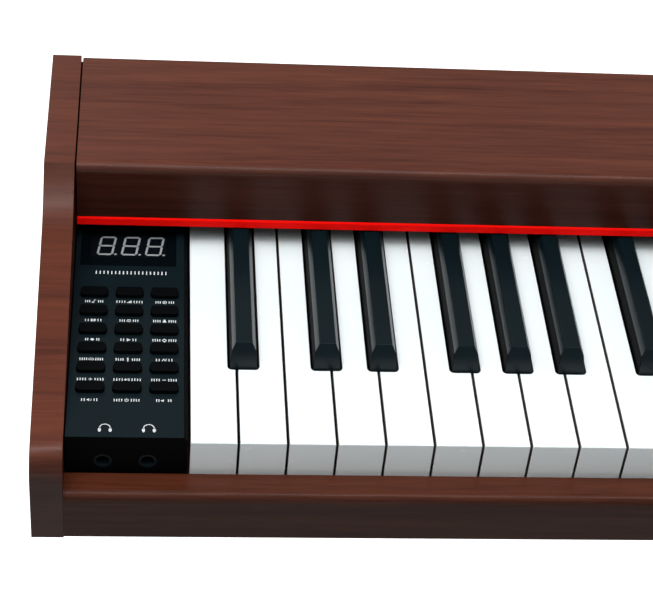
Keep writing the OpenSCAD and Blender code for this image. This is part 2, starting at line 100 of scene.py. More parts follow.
def new_finish(name, sockets):
    """A material that is one Principled shader with these sockets set."""
    material = bpy.data.materials.new(name)
    material.use_nodes = True
    tree = material.node_tree
    tree.nodes.clear()
    shader = add(tree, "BsdfPrincipled", sockets)
    add(tree, "OutputMaterial", {"Surface": shader.outputs["BSDF"]})
    return material, tree, shader


# Printed tones from the dark streaks to the ground between them
WALNUT = (("#3d1e17", 0.30), ("#532b20", 0.45), ("#603426", 0.58), ("#6b3a29", 0.74))
# Painted shade: darker tones of the same print, for faces turned to the player
SHADED_FRONT_TONES = (("#281612", 0.30), ("#34201b", 0.46), ("#3c2620", 0.58), ("#442c25", 0.74))
STREAK_LENGTH = 26                              # for a width of 1
CHEEK_SIDE = 0.6                                # the share of a normal along X that makes a face a side


def wood_foil(name, grain, tones=WALNUT, ior=1.4, painted_front_shade=SHADED_FRONT_TONES):
    """PVC foil printed with a walnut-brown grain and pressed onto MDF.

    The eye sees fine dark streaks on a red-brown ground under a satin, faintly embossed skin.
    grain is "x" or "z", or "edge" for a cheek: upright on its sides and across its edges.
    """
    along = {"x": (1 / STREAK_LENGTH, 1, 1), "z": (1, 1, 1 / STREAK_LENGTH)}
    material, tree, shader = new_finish(name, {"IOR": ior})
    place = add(tree, "TexCoord").outputs["Object"]
    normal = add(tree, "SeparateXYZ", {"Vector": add(tree, "NewGeometry").outputs["Normal"]})
    if grain == "edge":
        side = add(tree, "Math", {0: normal.outputs["X"]}, operation="ABSOLUTE").outputs[0]
        side = add(tree, "Math", {0: side, 1: CHEEK_SIDE}, operation="GREATER_THAN").outputs[0]
        stretch = add(tree, "Mix", {"Factor": side, VECTOR_A: along["x"], VECTOR_B: along["z"]},
                      data_type="VECTOR").outputs[VECTOR_OUT]
    else:
        stretch = along[grain]
    place = add(tree, "VectorMath", {0: place, 1: stretch}, operation="MULTIPLY").outputs[0]
    # The figure and the streaks have a print's own width, and the pores are drawn coarser, so that they show
    figure = add(tree, "TexNoise", {"Vector": place, "Scale": 1 / (12 * MM), "Detail": 2, "Distortion": 0.8})
    streaks = add(tree, "TexNoise", {"Vector": place, "Scale": 1 / (3.2 * MM), "Detail": 3,
                                     "Distortion": 0.4})
    pores = add(tree, "TexNoise", {"Vector": place, "Scale": 1 / (0.9 * MM), "Detail": 2})
    tone = add(tree, "Mix", {"Factor": 0.5, FLOAT_A: figure.outputs["Fac"], FLOAT_B: streaks.outputs["Fac"]})
    tone = add(tree, "Mix", {"Factor": 0.28, FLOAT_A: tone.outputs[FLOAT_OUT], FLOAT_B: pores.outputs["Fac"]})
    tone = tone.outputs[FLOAT_OUT]
    # Painted shade: faces that turn to the player take darker and greyer tones
    front_shade_mix = add(tree, "MapRange", {"Value": normal.outputs["Y"], "From Min": -0.45, "From Max": -1.0,
                                    "To Max": 0.85}, interpolation_type="SMOOTHSTEP")
    ground = add(tree, "ValToRGB", {"Fac": tone}, tones)
    front = add(tree, "ValToRGB", {"Fac": tone}, painted_front_shade)
    colour = add(tree, "Mix", {"Factor": front_shade_mix.outputs["Result"], COLOUR_A: ground.outputs["Color"],
                               COLOUR_B: front.outputs["Color"]}, data_type="RGBA")
    rough = add(tree, "MapRange", {"Value": tone, "To Min": 0.34, "To Max": 0.24})
    bump = add(tree, "Bump", {"Height": pores.outputs["Fac"], "Strength": 0.3, "Distance": 0.08 * MM})
    wire(tree, shader, {"Base Color": colour.outputs[COLOUR_OUT], "Roughness": rough.outputs["Result"],
                        "Normal": bump.outputs["Normal"]})
    return material


MOTTLE = 55.5556 * MM                           # width of the faint clouds in a moulding's colour
ROUGHER = 0.06                                  # how far the grain takes the roughness up and down


def moulding(name, code, light, roughness, grit_mm, depth_mm, ior=1.5):
    """A moulded or coated surface: the fine grain of its tool or spray, mottled between two close tones.

    grit_mm and depth_mm are the width and the height of the grain, drawn coarse enough to show.
    """
    material, tree, shader = new_finish(name, {"IOR": ior})
    place = add(tree, "TexCoord").outputs["Object"]
    grit = add(tree, "TexNoise", {"Vector": place, "Scale": 1 / (grit_mm * MM), "Detail": 3})
    cloud = add(tree, "TexNoise", {"Vector": place, "Scale": 1 / MOTTLE, "Detail": 2})
    colour = add(tree, "ValToRGB", {"Fac": cloud.outputs["Fac"]}, [(code, 0.3), (light, 0.7)])
    rough = add(tree, "MapRange", {"Value": grit.outputs["Fac"], "To Min": roughness - ROUGHER,
                                   "To Max": roughness + ROUGHER})
    bump = add(tree, "Bump", {"Height": grit.outputs["Fac"], "Strength": 0.5, "Distance": depth_mm * MM})
    wire(tree, shader, {"Base Color": colour.outputs["Color"], "Roughness": rough.outputs["Result"],
                        "Normal": bump.outputs["Normal"]})
    return material


FIBRE_GAP = 0.66667 * MM                        # coarser than real wool, so that the matting shows


def wool_felt(name, code, light, glow=0.0):
    """Pressed wool felt: matted fibres with a soft bloom at the edges, and a painted glow of its own colour.
    """
    sockets = {"Roughness": 0.95, "Sheen Weight": 0.5, "Sheen Roughness": 0.5, "Sheen Tint": linear(light),
               "IOR": 1.3, "Emission Color": linear(code), "Emission Strength": glow}
    material, tree, shader = new_finish(name, sockets)
    place = add(tree, "TexCoord").outputs["Object"]
    hairs = add(tree, "TexNoise", {"Vector": place, "Scale": 1 / FIBRE_GAP, "Detail": 4, "Distortion": 1.5})
    colour = add(tree, "ValToRGB", {"Fac": hairs.outputs["Fac"]}, [(code, 0.3), (light, 0.75)])
    bump = add(tree, "Bump", {"Height": hairs.outputs["Fac"], "Strength": 0.6, "Distance": 0.3 * MM})
    wire(tree, shader, {"Base Color": colour.outputs["Color"], "Normal": bump.outputs["Normal"]})
    return material


SCRATCH_GAP = 1.11111 * MM                      # coarser than real polishing lines, so that they show


def bare_metal(name, code, roughness, brushed_along=(1, 1, 1)):
    """Plated or polished metal with the fine scratches of its finishing, some duller than others."""
    material, tree, shader = new_finish(name, {"Metallic": 1.0, "Base Color": linear(code)})
    place = add(tree, "TexCoord").outputs["Object"]
    place = add(tree, "VectorMath", {0: place, 1: brushed_along}, operation="MULTIPLY").outputs[0]
    scratches = add(tree, "TexNoise", {"Vector": place, "Scale": 1 / SCRATCH_GAP, "Detail": 3})
    rough = add(tree, "MapRange", {"Value": scratches.outputs["Fac"], "To Min": roughness * 0.6,
                                   "To Max": roughness * 1.5})
    bump = add(tree, "Bump", {"Height": scratches.outputs["Fac"], "Strength": 0.15, "Distance": 0.02 * MM})
    wire(tree, shader, {"Roughness": rough.outputs["Result"], "Normal": bump.outputs["Normal"]})
    return material


def smoked_acrylic():
    """Grey-tinted acrylic: a third of its face reads black and glossy, and the digits behind show through."""
    material, tree, shader = new_finish("smoked_acrylic", {"Roughness": 0.2, "IOR": 1.3, "Alpha": 0.34})
    place = add(tree, "TexCoord").outputs["Object"]
    cloud = add(tree, "TexNoise", {"Vector": place, "Scale": 1 / (15 * MM), "Detail": 1})
    colour = add(tree, "ValToRGB", {"Fac": cloud.outputs["Fac"]}, [("#010204", 0.3), ("#020306", 0.7)])
    wire(tree, shader, {"Base Color": colour.outputs["Color"]})
    return material


# Every foil takes painted shade on its faces turned to the player
FOIL_X = wood_foil("pvc_wood_foil_lengthwise", "x")
FOIL_Z = wood_foil("pvc_wood_foil_upright", "z")
# The cheeks' foil is a little redder and glossier, and the slip's is dulled by the player's hands
FOIL_EDGE = wood_foil("pvc_wood_foil_cheek", "edge", ior=1.5, tones=(
    ("#3f1b10", 0.30), ("#542718", 0.45), ("#602e1d", 0.58), ("#68341f", 0.74)))
FOIL_SLIP = wood_foil("pvc_wood_foil_slip", "x", ior=1.34, tones=(
    ("#35190f", 0.30), ("#4a2417", 0.45), ("#552c1c", 0.58), ("#60321f", 0.74)))
# The drop above the felt carries painted shade: a darker and duller print, a shadow line over the keys
FOIL_DROP_PAINTED_SHADE = wood_foil("pvc_wood_foil_drop_painted_shade", "x", ior=1.2, tones=(
    ("#351610", 0.30), ("#482018", 0.46), ("#52281d", 0.58), ("#5b2e21", 0.74)), painted_front_shade=(
    ("#2d140e", 0.30), ("#3b1d15", 0.46), ("#43221a", 0.58), ("#4c271e", 0.74)))

# Spark-eroded ABS: a fine even grain that spreads the highlights to a soft slate sheen
ABS_PANEL = moulding("abs_slate_black", "#0b171b", "#0f1b20", 0.42, 0.5, 0.02, 1.32)
# Side and front walls of the same moulding: deep-grained, and near black as painted shade, darker than its
# top
DARK_ABS_AND_PAINTED_SHADE = moulding("dark_abs_deep_grain_and_painted_shade", "#020304", "#040506", 0.75, 0.7, 0.05, 1.2)
# Button caps: the darkest of the panel's mouldings, nearly without shine
ABS_BUTTON = moulding("abs_button_black", "#030506", "#050709", 0.6, 0.4, 0.02, 1.22)
# White key covers: polished, with only the long faint waves of a thick moulding
ABS_WHITE = moulding("polished_abs_white", "#eaf2f4", "#eff6f8", 0.25, 6.0, 0.005)
# Black key covers: satin, so that the bevels catch a soft light and the tops stay dark
ABS_BLACK_KEY = moulding("satin_abs_black", "#091519", "#0c191e", 0.34, 0.35, 0.01, 1.38)
# The sides of the white keys: unpolished and dull, in a dark warm grey that is painted shade, so the cracks
# stay dark
ABS_KEY_SIDE_PAINTED_SHADE = moulding("unpolished_abs_painted_shade", "#5d564f", "#67605a", 0.7, 0.5, 0.03, 1.3)
# The display: a dark grey cast face, and pale resin in the unlit segments
DISPLAY_FACE = moulding("display_face_resin", "#161b22", "#1a2028", 0.35, 1.0, 0.01)
SEGMENT_RESIN = moulding("unlit_segment_resin", "#ccd3d6", "#dde3e5", 0.4, 1.0, 0.01)
# Screen-printed ink: an opaque, slightly chalky off-white
PRINT_INK = moulding("screen_printed_ink", "#c9cfd1", "#dbdfe1", 0.55, 0.4, 0.01)
# A painted glow: the felt gives out a little red light of its own, though it is no lamp
RED_FELT_PAINTED_GLOW = wool_felt("red_wool_felt_painted_glow", "#e60400", "#f2100a", 0.22)
DARK_FELT = wool_felt("maroon_wool_felt", "#5a1c1a", "#7d3330")
# Zinc plate looks pale and a little cloudy, and the pedals' brass is polished along their length
STEEL = bare_metal("zinc_plated_steel", "#b4b8bb", 0.3)
BRASS = bare_metal("polished_brass", "#c9a04a", 0.16, (1, 0.15, 1))
# Rubbers: matt and dark, with the silicone of the domes smoother and greyer than the floor pads
RUBBER = moulding("moulded_rubber", "#141414", "#1c1c1c", 0.8, 0.5, 0.05)
SILICONE = moulding("silicone_rubber", "#33383d", "#41474d", 0.6, 0.8, 0.02, 1.41)
# Solder mask is a glossy green lacquer, and the speakers' frames have a sprayed black paint
CIRCUIT = moulding("solder_mask_green", "#123f22", "#1a5530", 0.3, 1.2, 0.02)
SPEAKER_PAINT = moulding("black_paint_on_steel", "#15171a", "#1d2024", 0.45, 0.6, 0.02)
SMOKED_WINDOW = smoked_acrylic()


# ---- Mesh tools ----

SHARP_ANGLE, BEVEL_ANGLE = math.radians(35), math.radians(32)
# The least share of a normal along an axis, for a face that looks along it or that counts as level
SQUARE_ON, LEVEL = 0.95, 0.9


def piece(name, bm, material, body, replaces=(), bevel=0.0, segments=3):
    """Makes a mesh an object that rides on a body, with its edges rounded by a bevel."""
    bmesh.ops.remove_doubles(bm, verts=bm.verts, dist=0.001 * MM)
    bmesh.ops.recalc_face_normals(bm, faces=bm.faces)
    mesh = bpy.data.meshes.new(name)
    bm.to_mesh(mesh)
    bm.free()
    obj = bpy.data.objects.new(name, mesh)
    bpy.context.scene.collection.objects.link(obj)
    mesh.materials.append(material)
    shade(obj)
    if bevel:
        soften(obj, bevel, segments)
    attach(obj, body)
    if replaces:
        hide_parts(*replaces)
    return obj


def shade(obj):
    """Smooth shading, apart from the edges where two faces meet at a sharp angle."""
    obj.data.shade_smooth()
    obj.data.set_sharp_from_angle(angle=SHARP_ANGLE)


def soften(obj, width, segments=3):
    """Rounds the edges, and lets the large faces set the shading, so that only the edges look curved."""
    edge = obj.modifiers.new("rounded_edges", "BEVEL")
    edge.width = width
    edge.segments = segments
    edge.limit_method = "ANGLE"
    edge.angle_limit = BEVEL_ANGLE
    obj.modifiers.new("flat_faces", "WEIGHTED_NORMAL").keep_sharp = True


def block(bm, low, high):
    """A box between two corners."""
    corners = [bm.verts.new(point) for point in itertools.product(*zip(low, high))]
    for quad in ((0, 1, 3, 2), (4, 6, 7, 5), (0, 4, 5, 1), (2, 3, 7, 6), (0, 2, 6, 4), (1, 5, 7, 3)):
        bm.faces.new([corners[i] for i in quad])


def loft(bm, rings):
    """Joins rings of points, each the same length, and closes both ends."""
    made = [[bm.verts.new(p) for p in ring] for ring in rings]
    for a, b in zip(made, made[1:]):
        for i in range(len(a)):
            j = (i + 1) % len(a)
            bm.faces.new((a[i], a[j], b[j], b[i]))
    bm.faces.new(list(reversed(made[0])))
    bm.faces.new(made[-1])


def prism(bm, outline, z0, z1):
    """Raises a flat (x, y) outline from z0 to z1."""
    loft(bm, [[(x, y, z) for x, y in outline] for z in (z0, z1)])


def arc(centre, radius, start, end, steps):
    """Points on an arc, from one angle to another, in degrees."""
    angles = [math.radians(start + (end - start) * i / steps) for i in range(steps + 1)]
    return [(centre[0] + radius * math.cos(a), centre[1] + radius * math.sin(a)) for a in angles]


# ---- Keys ----

# The pattern of an octave, where C is letter 0
FIRST_LETTER = 5                                # the lowest key is an A
BLACK_SHIFT = {0: -0.1, 1: 0.1, 3: -0.143, 4: 0.0, 5: 0.143}   # from the crack, in key pitches
BLACK_W = A0_SHARP[1].x - A0_SHARP[0].x
SIDE_GAP = 0.9 * MM                             # from a black key to the white ones beside it
FRONT_GAP = 1 * MM                              # and to the ones before it
HEAD_LEN = A0_SHARP[0].y - KEY_FRONT - FRONT_GAP
ARM_LEN = 41 * MM                               # behind the cover, with the hinge's eye
COVER_LEN = A0_SHARP[1].y - KEY_FRONT - ARM_LEN
LIP = A0[1].z - A0[0].z                         # the front's height
SKIRT = 20 * MM                                 # the height of the sides behind it
LIP_WALL, LIP_STEP = 2 * MM, 0.2 * MM           # the front's thickness, and the run of the step behind it
CORNER_R, NOTCH_R = 0.5 * MM, 2.2 * MM
# A black key's rings from the foot up: half its width, the setback of its front, and the height, in mm
BLACK_RINGS = ((6.9, 0, -16), (6.9, 0, 0), (5.9, 4, 8), (3.9, 6, 12))
ARM_W, EYE_R, BORE_R = 8 * MM, 6 * MM, 2.55 * MM   # the hinge arm, the eye at its end, and the eye's bore
ARM_INSET, BORE_WALL = 3 * MM, 1 * MM           # how far the arm runs into the cover, and stops off the bore
EYE_STEPS = 24
PIVOT_DROP = 14 * MM                            # under the key tops
PIVOT = Vector((0, A0[1].y - EYE_R, KEY_TOP - PIVOT_DROP))


def has_black(i):
    """Whether a black key stands behind the crack to the right of this white key."""
    return 0 <= i < WHITE_COUNT - 1 and (i + FIRST_LETTER) % 7 in BLACK_SHIFT


def black_x(i):
    """The middle of that black key."""
    return KEYS_X + (i + 1 + BLACK_SHIFT[(i + FIRST_LETTER) % 7]) * PITCH


def hinge_arm(bm, x):
    """The arm behind the cover, with an eye round the pivot rod."""
    block(bm, (x - ARM_W / 2, KEY_FRONT + COVER_LEN - ARM_INSET, PIVOT.z - EYE_R),
          (x + ARM_W / 2, PIVOT.y - BORE_R - BORE_WALL, PIVOT.z + EYE_R))
    angles = [math.tau * k / EYE_STEPS for k in range(EYE_STEPS)]
    rings = []
    for r, side in ((EYE_R, -1), (EYE_R, 1), (BORE_R, 1), (BORE_R, -1)):
        end = x + side * ARM_W / 2
        rings.append([bm.verts.new((end, PIVOT.y + r * math.cos(a), PIVOT.z + r * math.sin(a)))
                      for a in angles])
    for a, b in zip(rings, rings[1:] + rings[:1]):
        for k in range(EYE_STEPS):
            after = (k + 1) % EYE_STEPS
            bm.faces.new((a[k], a[after], b[after], b[k]))


def white_key(bm, i):
    """One white key: a cover with a notch beside each black key, a deep front lip and a hinge arm."""
    x0 = KEYS_X + i * PITCH + (PITCH - HEAD_W) / 2
    x1 = x0 + HEAD_W
    tail0 = black_x(i - 1) + BLACK_W / 2 + SIDE_GAP if has_black(i - 1) else x0
    tail1 = black_x(i) - BLACK_W / 2 - SIDE_GAP if has_black(i) else x1
    y0, notch, y1 = KEY_FRONT, KEY_FRONT + HEAD_LEN, KEY_FRONT + COVER_LEN
    wall = y0 + LIP_WALL
    r = CORNER_R
    outline = arc((x0 + r, y0 + r), r, 180, 270, 3) + arc((x1 - r, y0 + r), r, 270, 360, 3)
    outline += [(x1, wall), (x1, wall + LIP_STEP)]
    if tail1 < x1:
        outline += arc((x1 - r, notch - r), r, 0, 90, 3)
        outline += arc((tail1 + NOTCH_R, notch + NOTCH_R), NOTCH_R, 270, 180, 5)
    outline += [(tail1, y1), (tail0, y1)]
    if tail0 > x0:
        outline += arc((tail0 - NOTCH_R, notch + NOTCH_R), NOTCH_R, 0, -90, 5)
        outline += arc((x0 + r, notch - r), r, 90, 180, 3)
    outline += [(x0, wall + LIP_STEP), (x0, wall)]
    top = [bm.verts.new((x, y, KEY_TOP)) for x, y in outline]
    foot = [bm.verts.new((x, y, KEY_TOP - (LIP if y <= wall else SKIRT))) for x, y in outline]
    bm.faces.new(top)
    for a in range(len(outline)):
        b = (a + 1) % len(outline)
        bm.faces.new((foot[a], foot[b], top[b], top[a]))
    # Underneath: the lip's edge, the step behind it, and the level foot of the side walls
    front = [vertex for vertex, point in zip(foot, outline) if point[1] <= wall]
    rear = [vertex for vertex, point in zip(foot, outline) if point[1] > wall]
    bm.faces.new(list(reversed(front)))
    bm.faces.new(list(reversed(rear)))
    bm.faces.new((front[-1], front[-2], rear[0], rear[-1]))
    hinge_arm(bm, (tail0 + tail1) / 2)


def black_key(bm, i):
    """One black key: upright sides, a broad bevel to a flat top, and a front that leans back."""
    x, front, back = black_x(i), KEY_FRONT + HEAD_LEN + FRONT_GAP, KEY_FRONT + COVER_LEN
    rings = []
    for half, setback, height in BLACK_RINGS:
        half, y, z = half * MM, front + setback * MM, KEY_TOP + height * MM
        rings.append([(x - half, y, z), (x + half, y, z), (x + half, back, z), (x - half, back, z)])
    loft(bm, rings)
    hinge_arm(bm, x)


def key_cover(node, indices, make_key, finish, side_painted_shade, slot):
    """The piece that stands for a key node, with a darker finish on the keys' sides as painted shade."""
    bm = bmesh.new()
    for i in indices:
        make_key(bm, i)
    obj = piece(node + "_cover", bm, finish, node, [node], bevel=0.4 * MM)
    obj.data.materials.append(side_painted_shade)
    for face in obj.data.polygons:
        if abs(face.normal.x) > SQUARE_ON:
            face.material_index = 1


# Painted shade on the keys' upright sides: dark warm grey on the white keys, near black on the black ones
WHITE = (white_key, ABS_WHITE, ABS_KEY_SIDE_PAINTED_SHADE, "key_white")
BLACK = (black_key, ABS_BLACK_KEY, DARK_ABS_AND_PAINTED_SHADE, "key_black")
# The places in the row of white keys. A black key has that of the white one before it
SINGLE_WHITES = {"key_a0": 0, "key_b0": 1, "key_c1": 2, "key_d1": 3, "key_e1": 4, "key_f1": 5, "key_g1": 6,
                 "key_a1": 7, "key_b1": 8}
SINGLE_BLACKS = {"key_a0_sharp": 0, "key_c1_sharp": 2, "key_d1_sharp": 3, "key_f1_sharp": 5,
                 "key_g1_sharp": 6, "key_a1_sharp": 7}
C2, C5 = 9, 30
for node, index in SINGLE_WHITES.items():
    key_cover(node, [index], *WHITE)
for node, index in SINGLE_BLACKS.items():
    key_cover(node, [index], *BLACK)
key_cover("white_keys_c2_b4", range(C2, C5), *WHITE)
key_cover("white_keys_c5_c8", range(C5, WHITE_COUNT), *WHITE)
key_cover("black_keys_c2_b4", filter(has_black, range(C2, C5)), *BLACK)
key_cover("black_keys_c5_b7", filter(has_black, range(C5, WHITE_COUNT)), *BLACK)


# ---- CAD nodes that keep their shape: their finish, and the radius of their edges in millimetres ----

KEPT = {
    "left_cheek": (FOIL_EDGE, 0.9), "right_cheek": (FOIL_EDGE, 0.9), "top_cover": (FOIL_X, 0.8),
    "back_panel": (FOIL_X, 0.5), "bottom_board": (FOIL_X, 0.5), "key_slip": (FOIL_SLIP, 0.8),
    "left_leg": (FOIL_Z, 1.5), "right_leg": (FOIL_Z, 1.5), "modesty_board": (FOIL_X, 1.0),
    "pedal_box": (FOIL_X, 1.0), "music_rest": (FOIL_X, 1.2), "control_panel": (ABS_PANEL, 0.35),
    "right_end_block": (ABS_PANEL, 0.35), "rear_jack_panel": (ABS_PANEL, 0.3),
    "headphone_jacks": (ABS_PANEL, 0.2), "display_window": (SMOKED_WINDOW, 0.15),
    "display_digits": (DISPLAY_FACE, 0.1), "key_felt": (RED_FELT_PAINTED_GLOW, 0.3), "stop_felts": (DARK_FELT, 0),
    "contact_board": (CIRCUIT, 0), "panel_board": (CIRCUIT, 0), "main_board": (CIRCUIT, 0),
    "contact_rubber": (SILICONE, 0), "floor_pads": (RUBBER, 0.8), "speakers": (SPEAKER_PAINT, 0.5),
    "key_frame": (STEEL, 0), "key_pivot_rod": (STEEL, 0), "case_screws": (STEEL, 0.3),
    "pedal_rod": (STEEL, 0.3), "stand_brackets": (STEEL, 0.4), "stand_bolts": (STEEL, 0.6),
    "rest_tabs": (STEEL, 0.3), "soft_pedal": (BRASS, 1.5), "sostenuto_pedal": (BRASS, 1.5),
    "sustain_pedal": (BRASS, 1.5),
}
for row in range(1, 7):
    KEPT[f"button_row_{row}"] = (ABS_BUTTON, 0.7)
for node, (material, radius) in KEPT.items():
    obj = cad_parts[node]
    obj.data.materials.clear()
    obj.data.materials.append(material)
    obj.modifiers.new("weld", "WELD").merge_threshold = 0.005 * MM
    if radius:
        soften(obj, radius * MM)
    shade(obj)


def recolour(node, material, test):
    """Gives the faces of a CAD node that pass the test another material."""
    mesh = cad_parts[node].data
    mesh.materials.append(material)
    for face in mesh.polygons:
        if test(face.normal):
            face.material_index = 1


# Painted shade: the lid's face to the player takes the darker drop foil
recolour("top_cover", FOIL_DROP_PAINTED_SHADE, lambda normal: normal.y < -SQUARE_ON)
# Painted shade: the walls of the panel and the end block take the near-black ABS
for node in ("control_panel", "right_end_block"):
    recolour(node, DARK_ABS_AND_PAINTED_SHADE, lambda normal: normal.z < LEVEL)

# The felt's own red is kept off the keys and the window, which stay neutral beside it
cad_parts["key_felt"].visible_diffuse = False
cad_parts["key_felt"].visible_glossy = False

# A dark strip closes the joint between each cheek and the lid, and stays inside the lid's rounded edges
LID, LEFT_CHEEK, RIGHT_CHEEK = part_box("top_cover"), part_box("left_cheek"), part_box("right_cheek")
STRIP_FOOT, STRIP_TOP = LID[1].z - 11 * MM, LID[1].z - 1.6 * MM
STRIP_BACK = LID[1].y - 1.5 * MM
STRIP_SIDE = ((LID[0].y + 2 * MM, STRIP_FOOT), (STRIP_BACK, STRIP_FOOT), (STRIP_BACK, STRIP_TOP),
              (LID[0].y + 5 * MM, STRIP_TOP))
for name, ends in (("left_joint_strip", (LEFT_CHEEK[1].x, LID[0].x)),
                   ("right_joint_strip", (LID[1].x, RIGHT_CHEEK[0].x))):
    bm = bmesh.new()
    loft(bm, [[(x, y, z) for y, z in STRIP_SIDE] for x in ends])
    piece(name, bm, DARK_ABS_AND_PAINTED_SHADE, "case", bevel=0.1 * MM, segments=1)


# ---- Display and print on the control panel, in millimetres from the left edge of the first key ----

PANEL_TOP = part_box("control_panel")[1].z
DIGIT_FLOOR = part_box("display_window")[0].z
DISC_STEPS = 20
BAND_STEP = 15                                  # degrees


def at_panel(points):
    """Puts millimetres on the panel in their place in the row frame."""
    return [(KEYS_X + x * MM, KEY_FRONT + y * MM) for x, y in points]


def bar(x0, y0, x1, y1):
    """A rectangle between two corners."""
    return [(x0, y0), (x1, y0), (x1, y1), (x0, y1)]


def stroke(x0, y0, x1, y1):
    """A stroke of a seven-segment figure: its mitred ends stop just short of the next strokes."""
    length = math.hypot(x1 - x0, y1 - y0)
    ux, uy = (x1 - x0) / length, (y1 - y0) / length
    x0, y0 = x0 + ux * STROKE_GAP, y0 + uy * STROKE_GAP
    x1, y1 = x1 - ux * STROKE_GAP, y1 - uy * STROKE_GAP
    dx, dy = ux * STROKE_W / 2, uy * STROKE_W / 2
    return [(x0, y0), (x0 + dx - dy, y0 + dy + dx), (x1 - dx - dy, y1 - dy + dx), (x1, y1),
            (x1 - dx + dy, y1 - dy - dx), (x0 + dx + dy, y0 + dy - dx)]


def disc(x, y, rx, ry=None):
    """A disc, or an oval with a second radius."""
    angles = [math.tau * k / DISC_STEPS for k in range(DISC_STEPS)]
    return [(x + rx * math.cos(a), y + (ry or rx) * math.sin(a)) for a in angles]


def band(x, y, radius, width, start=0, end=360):
    """Part of a ring, as a run of short quads."""
    steps = max(6, round((end - start) / BAND_STEP))
    outer, inner = arc((x, y), radius, start, end, steps), arc((x, y), radius - width, start, end, steps)
    return [[outer[k], outer[k + 1], inner[k + 1], inner[k]] for k in range(steps)]


# Three unlit figures with their points, raised a little from the display's face
DIGIT_LEFTS, DIGIT_FOOT = (-47.4, -34.9, -22.4), 131.4
DIGIT_W, DIGIT_H, HALF_H = 7.4, 13.6, 6.8
STROKE_W, STROKE_GAP = 1.15, 0.16
DIGIT_RISE = 0.15 * MM
SLANT = math.tan(math.radians(8))
SEGMENTS = ((0, 0, DIGIT_W, 0), (0, HALF_H, DIGIT_W, HALF_H), (0, DIGIT_H, DIGIT_W, DIGIT_H),
            (0, 0, 0, HALF_H), (0, HALF_H, 0, DIGIT_H), (DIGIT_W, 0, DIGIT_W, HALF_H),
            (DIGIT_W, HALF_H, DIGIT_W, DIGIT_H))
FIGURE = [stroke(*ends) for ends in SEGMENTS] + [disc(DIGIT_W + 1.9, 0.1, 0.65)]
bm = bmesh.new()
for left in DIGIT_LEFTS:
    for shape in FIGURE:
        prism(bm, at_panel([(left + x + y * SLANT, DIGIT_FOOT + y) for x, y in shape]),
              DIGIT_FLOOR, DIGIT_FLOOR + DIGIT_RISE)
piece("display_segments", bm, SEGMENT_RESIN, "case")

# The pictograms, each drawn round its own middle
NOTE = [disc(-0.55, -0.75, 0.6, 0.45), bar(-0.15, -0.75, 0.15, 1.2), bar(-0.15, 0.85, 0.9, 1.2)]
RISING = [bar(-1.1, -0.9, -0.5, -0.1), bar(-0.3, -0.9, 0.3, 0.5), bar(0.5, -0.9, 1.1, 1.0)]
TARGET = band(0, 0, 1.1, 0.35) + [disc(0, 0, 0.35)]
PAIR = [bar(-1.2, -0.9, -0.2, 0.9), bar(0.2, -0.9, 1.2, 0.9)]
HALVES = band(0, 0, 1.1, 0.35) + [bar(-0.17, -1.1, 0.17, 1.1)]
METRONOME = [[(-1.0, -0.9), (1.0, -0.9), (0.4, 1.1), (-0.4, 1.1)]]
DISC = [disc(0, 0, 0.9)]
PLAY = [[(-0.8, -1.0), (1.1, 0), (-0.8, 1.0)]]
COG = band(0, 0, 1.0, 0.45) + [bar(-0.2, 0.9, 0.2, 1.3), bar(-0.2, -1.3, 0.2, -0.9),
                               bar(0.9, -0.2, 1.3, 0.2), bar(-1.3, -0.2, -0.9, 0.2)]
LINKS = band(-0.6, 0, 0.8, 0.3) + band(0.6, 0, 0.8, 0.3)
CHORD = [disc(0, -0.9, 0.45, 0.35), disc(0, 0, 0.45, 0.35), disc(0, 0.9, 0.45, 0.35)]
PULSE = [[(-1.2, -0.8), (-0.5, 0.9), (-0.1, 0.9), (-0.7, -0.8)],
         [(-0.4, 0.9), (0, 0.9), (0.7, -0.8), (0.3, -0.8)],
         [(0.4, -0.8), (0.8, -0.8), (1.3, 0.9), (0.9, 0.9)]]
PLUS = [bar(-0.9, -0.2, 0.9, 0.2), bar(-0.2, -0.9, 0.2, 0.9)]
MINUS = [bar(-0.9, -0.2, 0.9, 0.2)]
PLAY_PAUSE = [[(-1.2, -0.8), (0.1, 0), (-1.2, 0.8)], bar(0.35, -0.8, 0.65, 0.8), bar(0.9, -0.8, 1.2, 0.8)]
SOFT = [[(-1.2, -0.4), (-0.6, -0.4), (0, -1.0), (0, 1.0), (-0.6, 0.4), (-1.2, 0.4)]]
LOUD = SOFT + band(0, 0, 1.1, 0.3, -50, 50)
POWER = band(0, 0, 1.0, 0.32, 120, 420) + [bar(-0.17, 0.1, 0.17, 1.2)]
HEADPHONES = band(0, 0, 2.75, 0.5, -8, 188) + [disc(-2.55, -1.2, 0.75, 1.35), disc(2.55, -1.2, 0.75, 1.35)]

# The print under each row of buttons: its width, and the pictogram in its middle
LABELS = [
    [(9.6, NOTE), (14.0, RISING), (10.0, TARGET)],
    [(9.0, PAIR), (10.0, HALVES), (12.0, METRONOME)],
    [(7.5, DISC), (8.6, PLAY), (12.5, COG)],
    [(12.0, LINKS), (12.5, CHORD), (9.0, PULSE)],
    [(13.5, PLUS), (14.0, PLAY_PAUSE), (13.0, MINUS)],
    [(8.5, LOUD), (13.0, POWER), (8.0, SOFT)],
]
COLUMNS = (-47.9, -30.1, -12.3)
TOP_LABEL, LABEL_STEP = 94.1, 13.94
ICON_ROOM = 1.7                                 # kept clear on each side of a pictogram's middle
TICK_W, TICK_STEP, TICK_H = 0.5, 1.2, 1.7
# The title over the buttons is a row of ticks
TITLE_LEFT, TITLE_COUNT = -47.5, 19
TITLE_W, TITLE_STEP, TITLE_FOOT, TITLE_HEAD = 0.6, 1.98, 115.0, 117.4
HEADPHONES_AT = ((-39.9, 5.9), (-19.2, 5.9))
INK_SUNK, INK_RISE = 0.02 * MM, 0.04 * MM


